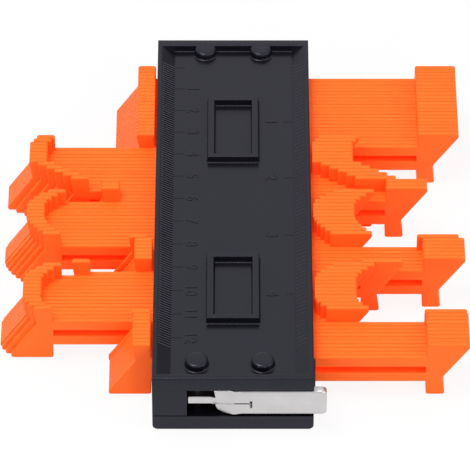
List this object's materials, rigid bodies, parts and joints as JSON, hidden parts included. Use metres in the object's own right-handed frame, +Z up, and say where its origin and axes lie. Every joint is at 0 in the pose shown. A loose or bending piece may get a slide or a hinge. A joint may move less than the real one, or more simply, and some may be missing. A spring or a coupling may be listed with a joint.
{
  "type": "contour gauge",
  "caption": "Contour gauge with a flat ruled body, a stack of slotted sliding leaves that copy a profile, and a cam lever at one end that locks them.",
  "frame": {"origin": "middle of the underside of the body", "axes": "+X along the leaves to the right, +Y along the body away from the lever, +Z up out of the ruled cover"},
  "size_m": [0.1358, 0.15, 0.02],
  "materials": {
    "housing": "charcoal black moulded plastic, satin",
    "leaf": "bright orange moulded plastic, satin gloss",
    "lever": "bright nickel-plated stamped steel",
    "plate": "black moulded plastic, matte",
    "steel": "plain zinc-plated steel"
  },
  "bodies": {
    "body": {"base_shell": "housing", "top_cover": "housing", "guide_bar_left": "steel", "guide_bar_right": "steel", "case_screws": "steel", "lever_pin": "steel"},
    "lever": {"lock_lever": "lever"},
    "plate": {"pressure_plate": "plate"},
    "leaf_01": {"leaf_01": "leaf"},
    "leaf_02": {"leaf_02": "leaf"},
    "leaf_03": {"leaf_03": "leaf"},
    "leaf_04": {"leaf_04": "leaf"},
    "leaf_05": {"leaf_05": "leaf"},
    "leaf_06": {"leaf_06": "leaf"},
    "leaf_07": {"leaf_07": "leaf"},
    "leaf_08": {"leaf_08": "leaf"},
    "leaf_09": {"leaf_09": "leaf"},
    "leaf_10": {"leaf_10": "leaf"},
    "leaf_11": {"leaf_11": "leaf"},
    "leaf_12": {"leaf_12": "leaf"},
    "leaf_13": {"leaf_13": "leaf"},
    "leaf_14": {"leaf_14": "leaf"},
    "leaf_15": {"leaf_15": "leaf"},
    "leaf_16": {"leaf_16": "leaf"},
    "leaf_17": {"leaf_17": "leaf"},
    "leaf_18": {"leaf_18": "leaf"},
    "leaf_19": {"leaf_19": "leaf"},
    "leaf_20": {"leaf_20": "leaf"},
    "leaf_21": {"leaf_21": "leaf"},
    "leaf_22": {"leaf_22": "leaf"},
    "leaf_23": {"leaf_23": "leaf"},
    "leaf_24": {"leaf_24": "leaf"},
    "leaf_25": {"leaf_25": "leaf"},
    "leaf_26": {"leaf_26": "leaf"},
    "leaf_27": {"leaf_27": "leaf"},
    "leaf_28": {"leaf_28": "leaf"},
    "leaf_29": {"leaf_29": "leaf"},
    "leaf_30": {"leaf_30": "leaf"},
    "leaf_31": {"leaf_31": "leaf"},
    "leaf_32": {"leaf_32": "leaf"},
    "leaf_33": {"leaf_33": "leaf"},
    "leaf_34": {"leaf_34": "leaf"},
    "leaf_35": {"leaf_35": "leaf"},
    "leaf_36": {"leaf_36": "leaf"},
    "leaf_37": {"leaf_37": "leaf"},
    "leaf_38": {"leaf_38": "leaf"},
    "leaf_39": {"leaf_39": "leaf"},
    "leaf_40": {"leaf_40": "leaf"},
    "leaf_41": {"leaf_41": "leaf"},
    "leaf_42": {"leaf_42": "leaf"},
    "leaf_43": {"leaf_43": "leaf"},
    "leaf_44": {"leaf_44": "leaf"},
    "leaf_45": {"leaf_45": "leaf"},
    "leaf_46": {"leaf_46": "leaf"},
    "leaf_47": {"leaf_47": "leaf"},
    "leaf_48": {"leaf_48": "leaf"},
    "leaf_49": {"leaf_49": "leaf"},
    "leaf_50": {"leaf_50": "leaf"}
  },
  "joints": [
    {"name": "lever_swing", "type": "hinge", "parent": "body", "child": "lever", "pos_m": [-0.0104, -0.0685, 0.01], "axis": [0, 0, -1], "range_deg": [0, 50]},
    {"name": "plate_slide", "type": "slide", "parent": "body", "child": "plate", "axis": [0, -1, 0], "range_m": [0, 0.00028]},
    {"name": "leaf_01_slide", "type": "slide", "parent": "body", "child": "leaf_01", "axis": [1, 0, 0], "range_m": [-0.0322, 0.0002]},
    {"name": "leaf_02_slide", "type": "slide", "parent": "body", "child": "leaf_02", "axis": [1, 0, 0], "range_m": [-0.0322, 0.0002]},
    {"name": "leaf_03_slide", "type": "slide", "parent": "body", "child": "leaf_03", "axis": [1, 0, 0], "range_m": [-0.0322, 0.0002]},
    {"name": "leaf_04_slide", "type": "slide", "parent": "body", "child": "leaf_04", "axis": [1, 0, 0], "range_m": [-0.0322, 0.0002]},
    {"name": "leaf_05_slide", "type": "slide", "parent": "body", "child": "leaf_05", "axis": [1, 0, 0], "range_m": [-0.0322, 0.0002]},
    {"name": "leaf_06_slide", "type": "slide", "parent": "body", "child": "leaf_06", "axis": [1, 0, 0], "range_m": [-0.0322, 0.0002]},
    {"name": "leaf_07_slide", "type": "slide", "parent": "body", "child": "leaf_07", "axis": [1, 0, 0], "range_m": [-0.0322, 0.0002]},
    {"name": "leaf_08_slide", "type": "slide", "parent": "body", "child": "leaf_08", "axis": [1, 0, 0], "range_m": [-0.0022, 0.0302]},
    {"name": "leaf_09_slide", "type": "slide", "parent": "body", "child": "leaf_09", "axis": [1, 0, 0], "range_m": [-0.0012, 0.0312]},
    {"name": "leaf_10_slide", "type": "slide", "parent": "body", "child": "leaf_10", "axis": [1, 0, 0], "range_m": [-0.0002, 0.0322]},
    {"name": "leaf_11_slide", "type": "slide", "parent": "body", "child": "leaf_11", "axis": [1, 0, 0], "range_m": [-0.0002, 0.0322]},
    {"name": "leaf_12_slide", "type": "slide", "parent": "body", "child": "leaf_12", "axis": [1, 0, 0], "range_m": [-0.0002, 0.0322]},
    {"name": "leaf_13_slide", "type": "slide", "parent": "body", "child": "leaf_13", "axis": [1, 0, 0], "range_m": [-0.00272, 0.02968]},
    {"name": "leaf_14_slide", "type": "slide", "parent": "body", "child": "leaf_14", "axis": [1, 0, 0], "range_m": [-0.00524, 0.02716]},
    {"name": "leaf_15_slide", "type": "slide", "parent": "body", "child": "leaf_15", "axis": [1, 0, 0], "range_m": [-0.00776, 0.02464]},
    {"name": "leaf_16_slide", "type": "slide", "parent": "body", "child": "leaf_16", "axis": [1, 0, 0], "range_m": [-0.01028, 0.02212]},
    {"name": "leaf_17_slide", "type": "slide", "parent": "body", "child": "leaf_17", "axis": [1, 0, 0], "range_m": [-0.0128, 0.0196]},
    {"name": "leaf_18_slide", "type": "slide", "parent": "body", "child": "leaf_18", "axis": [1, 0, 0], "range_m": [-0.022, 0.0104]},
    {"name": "leaf_19_slide", "type": "slide", "parent": "body", "child": "leaf_19", "axis": [1, 0, 0], "range_m": [-0.0062, 0.0262]},
    {"name": "leaf_20_slide", "type": "slide", "parent": "body", "child": "leaf_20", "axis": [1, 0, 0], "range_m": [-0.00388, 0.02852]},
    {"name": "leaf_21_slide", "type": "slide", "parent": "body", "child": "leaf_21", "axis": [1, 0, 0], "range_m": [-0.00205, 0.03035]},
    {"name": "leaf_22_slide", "type": "slide", "parent": "body", "child": "leaf_22", "axis": [1, 0, 0], "range_m": [-0.00077, 0.03163]},
    {"name": "leaf_23_slide", "type": "slide", "parent": "body", "child": "leaf_23", "axis": [1, 0, 0], "range_m": [-0.0002, 0.0322]},
    {"name": "leaf_24_slide", "type": "slide", "parent": "body", "child": "leaf_24", "axis": [1, 0, 0], "range_m": [-0.0002, 0.0322]},
    {"name": "leaf_25_slide", "type": "slide", "parent": "body", "child": "leaf_25", "axis": [1, 0, 0], "range_m": [-0.00052, 0.03188]},
    {"name": "leaf_26_slide", "type": "slide", "parent": "body", "child": "leaf_26", "axis": [1, 0, 0], "range_m": [-0.00123, 0.03117]},
    {"name": "leaf_27_slide", "type": "slide", "parent": "body", "child": "leaf_27", "axis": [1, 0, 0], "range_m": [-0.00226, 0.03014]},
    {"name": "leaf_28_slide", "type": "slide", "parent": "body", "child": "leaf_28", "axis": [1, 0, 0], "range_m": [-0.00355, 0.02885]},
    {"name": "leaf_29_slide", "type": "slide", "parent": "body", "child": "leaf_29", "axis": [1, 0, 0], "range_m": [-0.0051, 0.0273]},
    {"name": "leaf_30_slide", "type": "slide", "parent": "body", "child": "leaf_30", "axis": [1, 0, 0], "range_m": [-0.0306, 0.0018]},
    {"name": "leaf_31_slide", "type": "slide", "parent": "body", "child": "leaf_31", "axis": [1, 0, 0], "range_m": [-0.0322, 0.0002]},
    {"name": "leaf_32_slide", "type": "slide", "parent": "body", "child": "leaf_32", "axis": [1, 0, 0], "range_m": [-0.0322, 0.0002]},
    {"name": "leaf_33_slide", "type": "slide", "parent": "body", "child": "leaf_33", "axis": [1, 0, 0], "range_m": [-0.0322, 0.0002]},
    {"name": "leaf_34_slide", "type": "slide", "parent": "body", "child": "leaf_34", "axis": [1, 0, 0], "range_m": [-0.0141, 0.0183]},
    {"name": "leaf_35_slide", "type": "slide", "parent": "body", "child": "leaf_35", "axis": [1, 0, 0], "range_m": [-0.0057, 0.0267]},
    {"name": "leaf_36_slide", "type": "slide", "parent": "body", "child": "leaf_36", "axis": [1, 0, 0], "range_m": [-0.00357, 0.02883]},
    {"name": "leaf_37_slide", "type": "slide", "parent": "body", "child": "leaf_37", "axis": [1, 0, 0], "range_m": [-0.00189, 0.03051]},
    {"name": "leaf_38_slide", "type": "slide", "parent": "body", "child": "leaf_38", "axis": [1, 0, 0], "range_m": [-0.00072, 0.03168]},
    {"name": "leaf_39_slide", "type": "slide", "parent": "body", "child": "leaf_39", "axis": [1, 0, 0], "range_m": [-0.0002, 0.0322]},
    {"name": "leaf_40_slide", "type": "slide", "parent": "body", "child": "leaf_40", "axis": [1, 0, 0], "range_m": [-0.0002, 0.0322]},
    {"name": "leaf_41_slide", "type": "slide", "parent": "body", "child": "leaf_41", "axis": [1, 0, 0], "range_m": [-0.0002, 0.0322]},
    {"name": "leaf_42_slide", "type": "slide", "parent": "body", "child": "leaf_42", "axis": [1, 0, 0], "range_m": [-0.00071, 0.03169]},
    {"name": "leaf_43_slide", "type": "slide", "parent": "body", "child": "leaf_43", "axis": [1, 0, 0], "range_m": [-0.00186, 0.03054]},
    {"name": "leaf_44_slide", "type": "slide", "parent": "body", "child": "leaf_44", "axis": [1, 0, 0], "range_m": [-0.0035, 0.0289]},
    {"name": "leaf_45_slide", "type": "slide", "parent": "body", "child": "leaf_45", "axis": [1, 0, 0], "range_m": [-0.0319, 0.0005]},
    {"name": "leaf_46_slide", "type": "slide", "parent": "body", "child": "leaf_46", "axis": [1, 0, 0], "range_m": [-0.0322, 0.0002]},
    {"name": "leaf_47_slide", "type": "slide", "parent": "body", "child": "leaf_47", "axis": [1, 0, 0], "range_m": [-0.0322, 0.0002]},
    {"name": "leaf_48_slide", "type": "slide", "parent": "body", "child": "leaf_48", "axis": [1, 0, 0], "range_m": [-0.0322, 0.0002]},
    {"name": "leaf_49_slide", "type": "slide", "parent": "body", "child": "leaf_49", "axis": [1, 0, 0], "range_m": [-0.0322, 0.0002]},
    {"name": "leaf_50_slide", "type": "slide", "parent": "body", "child": "leaf_50", "axis": [1, 0, 0], "range_m": [-0.0322, 0.0002]}
  ],
  "couplings": [
    {"joint": "plate_slide", "follows": "lever_swing", "m_per_rad": 0.0003186}
  ]
}
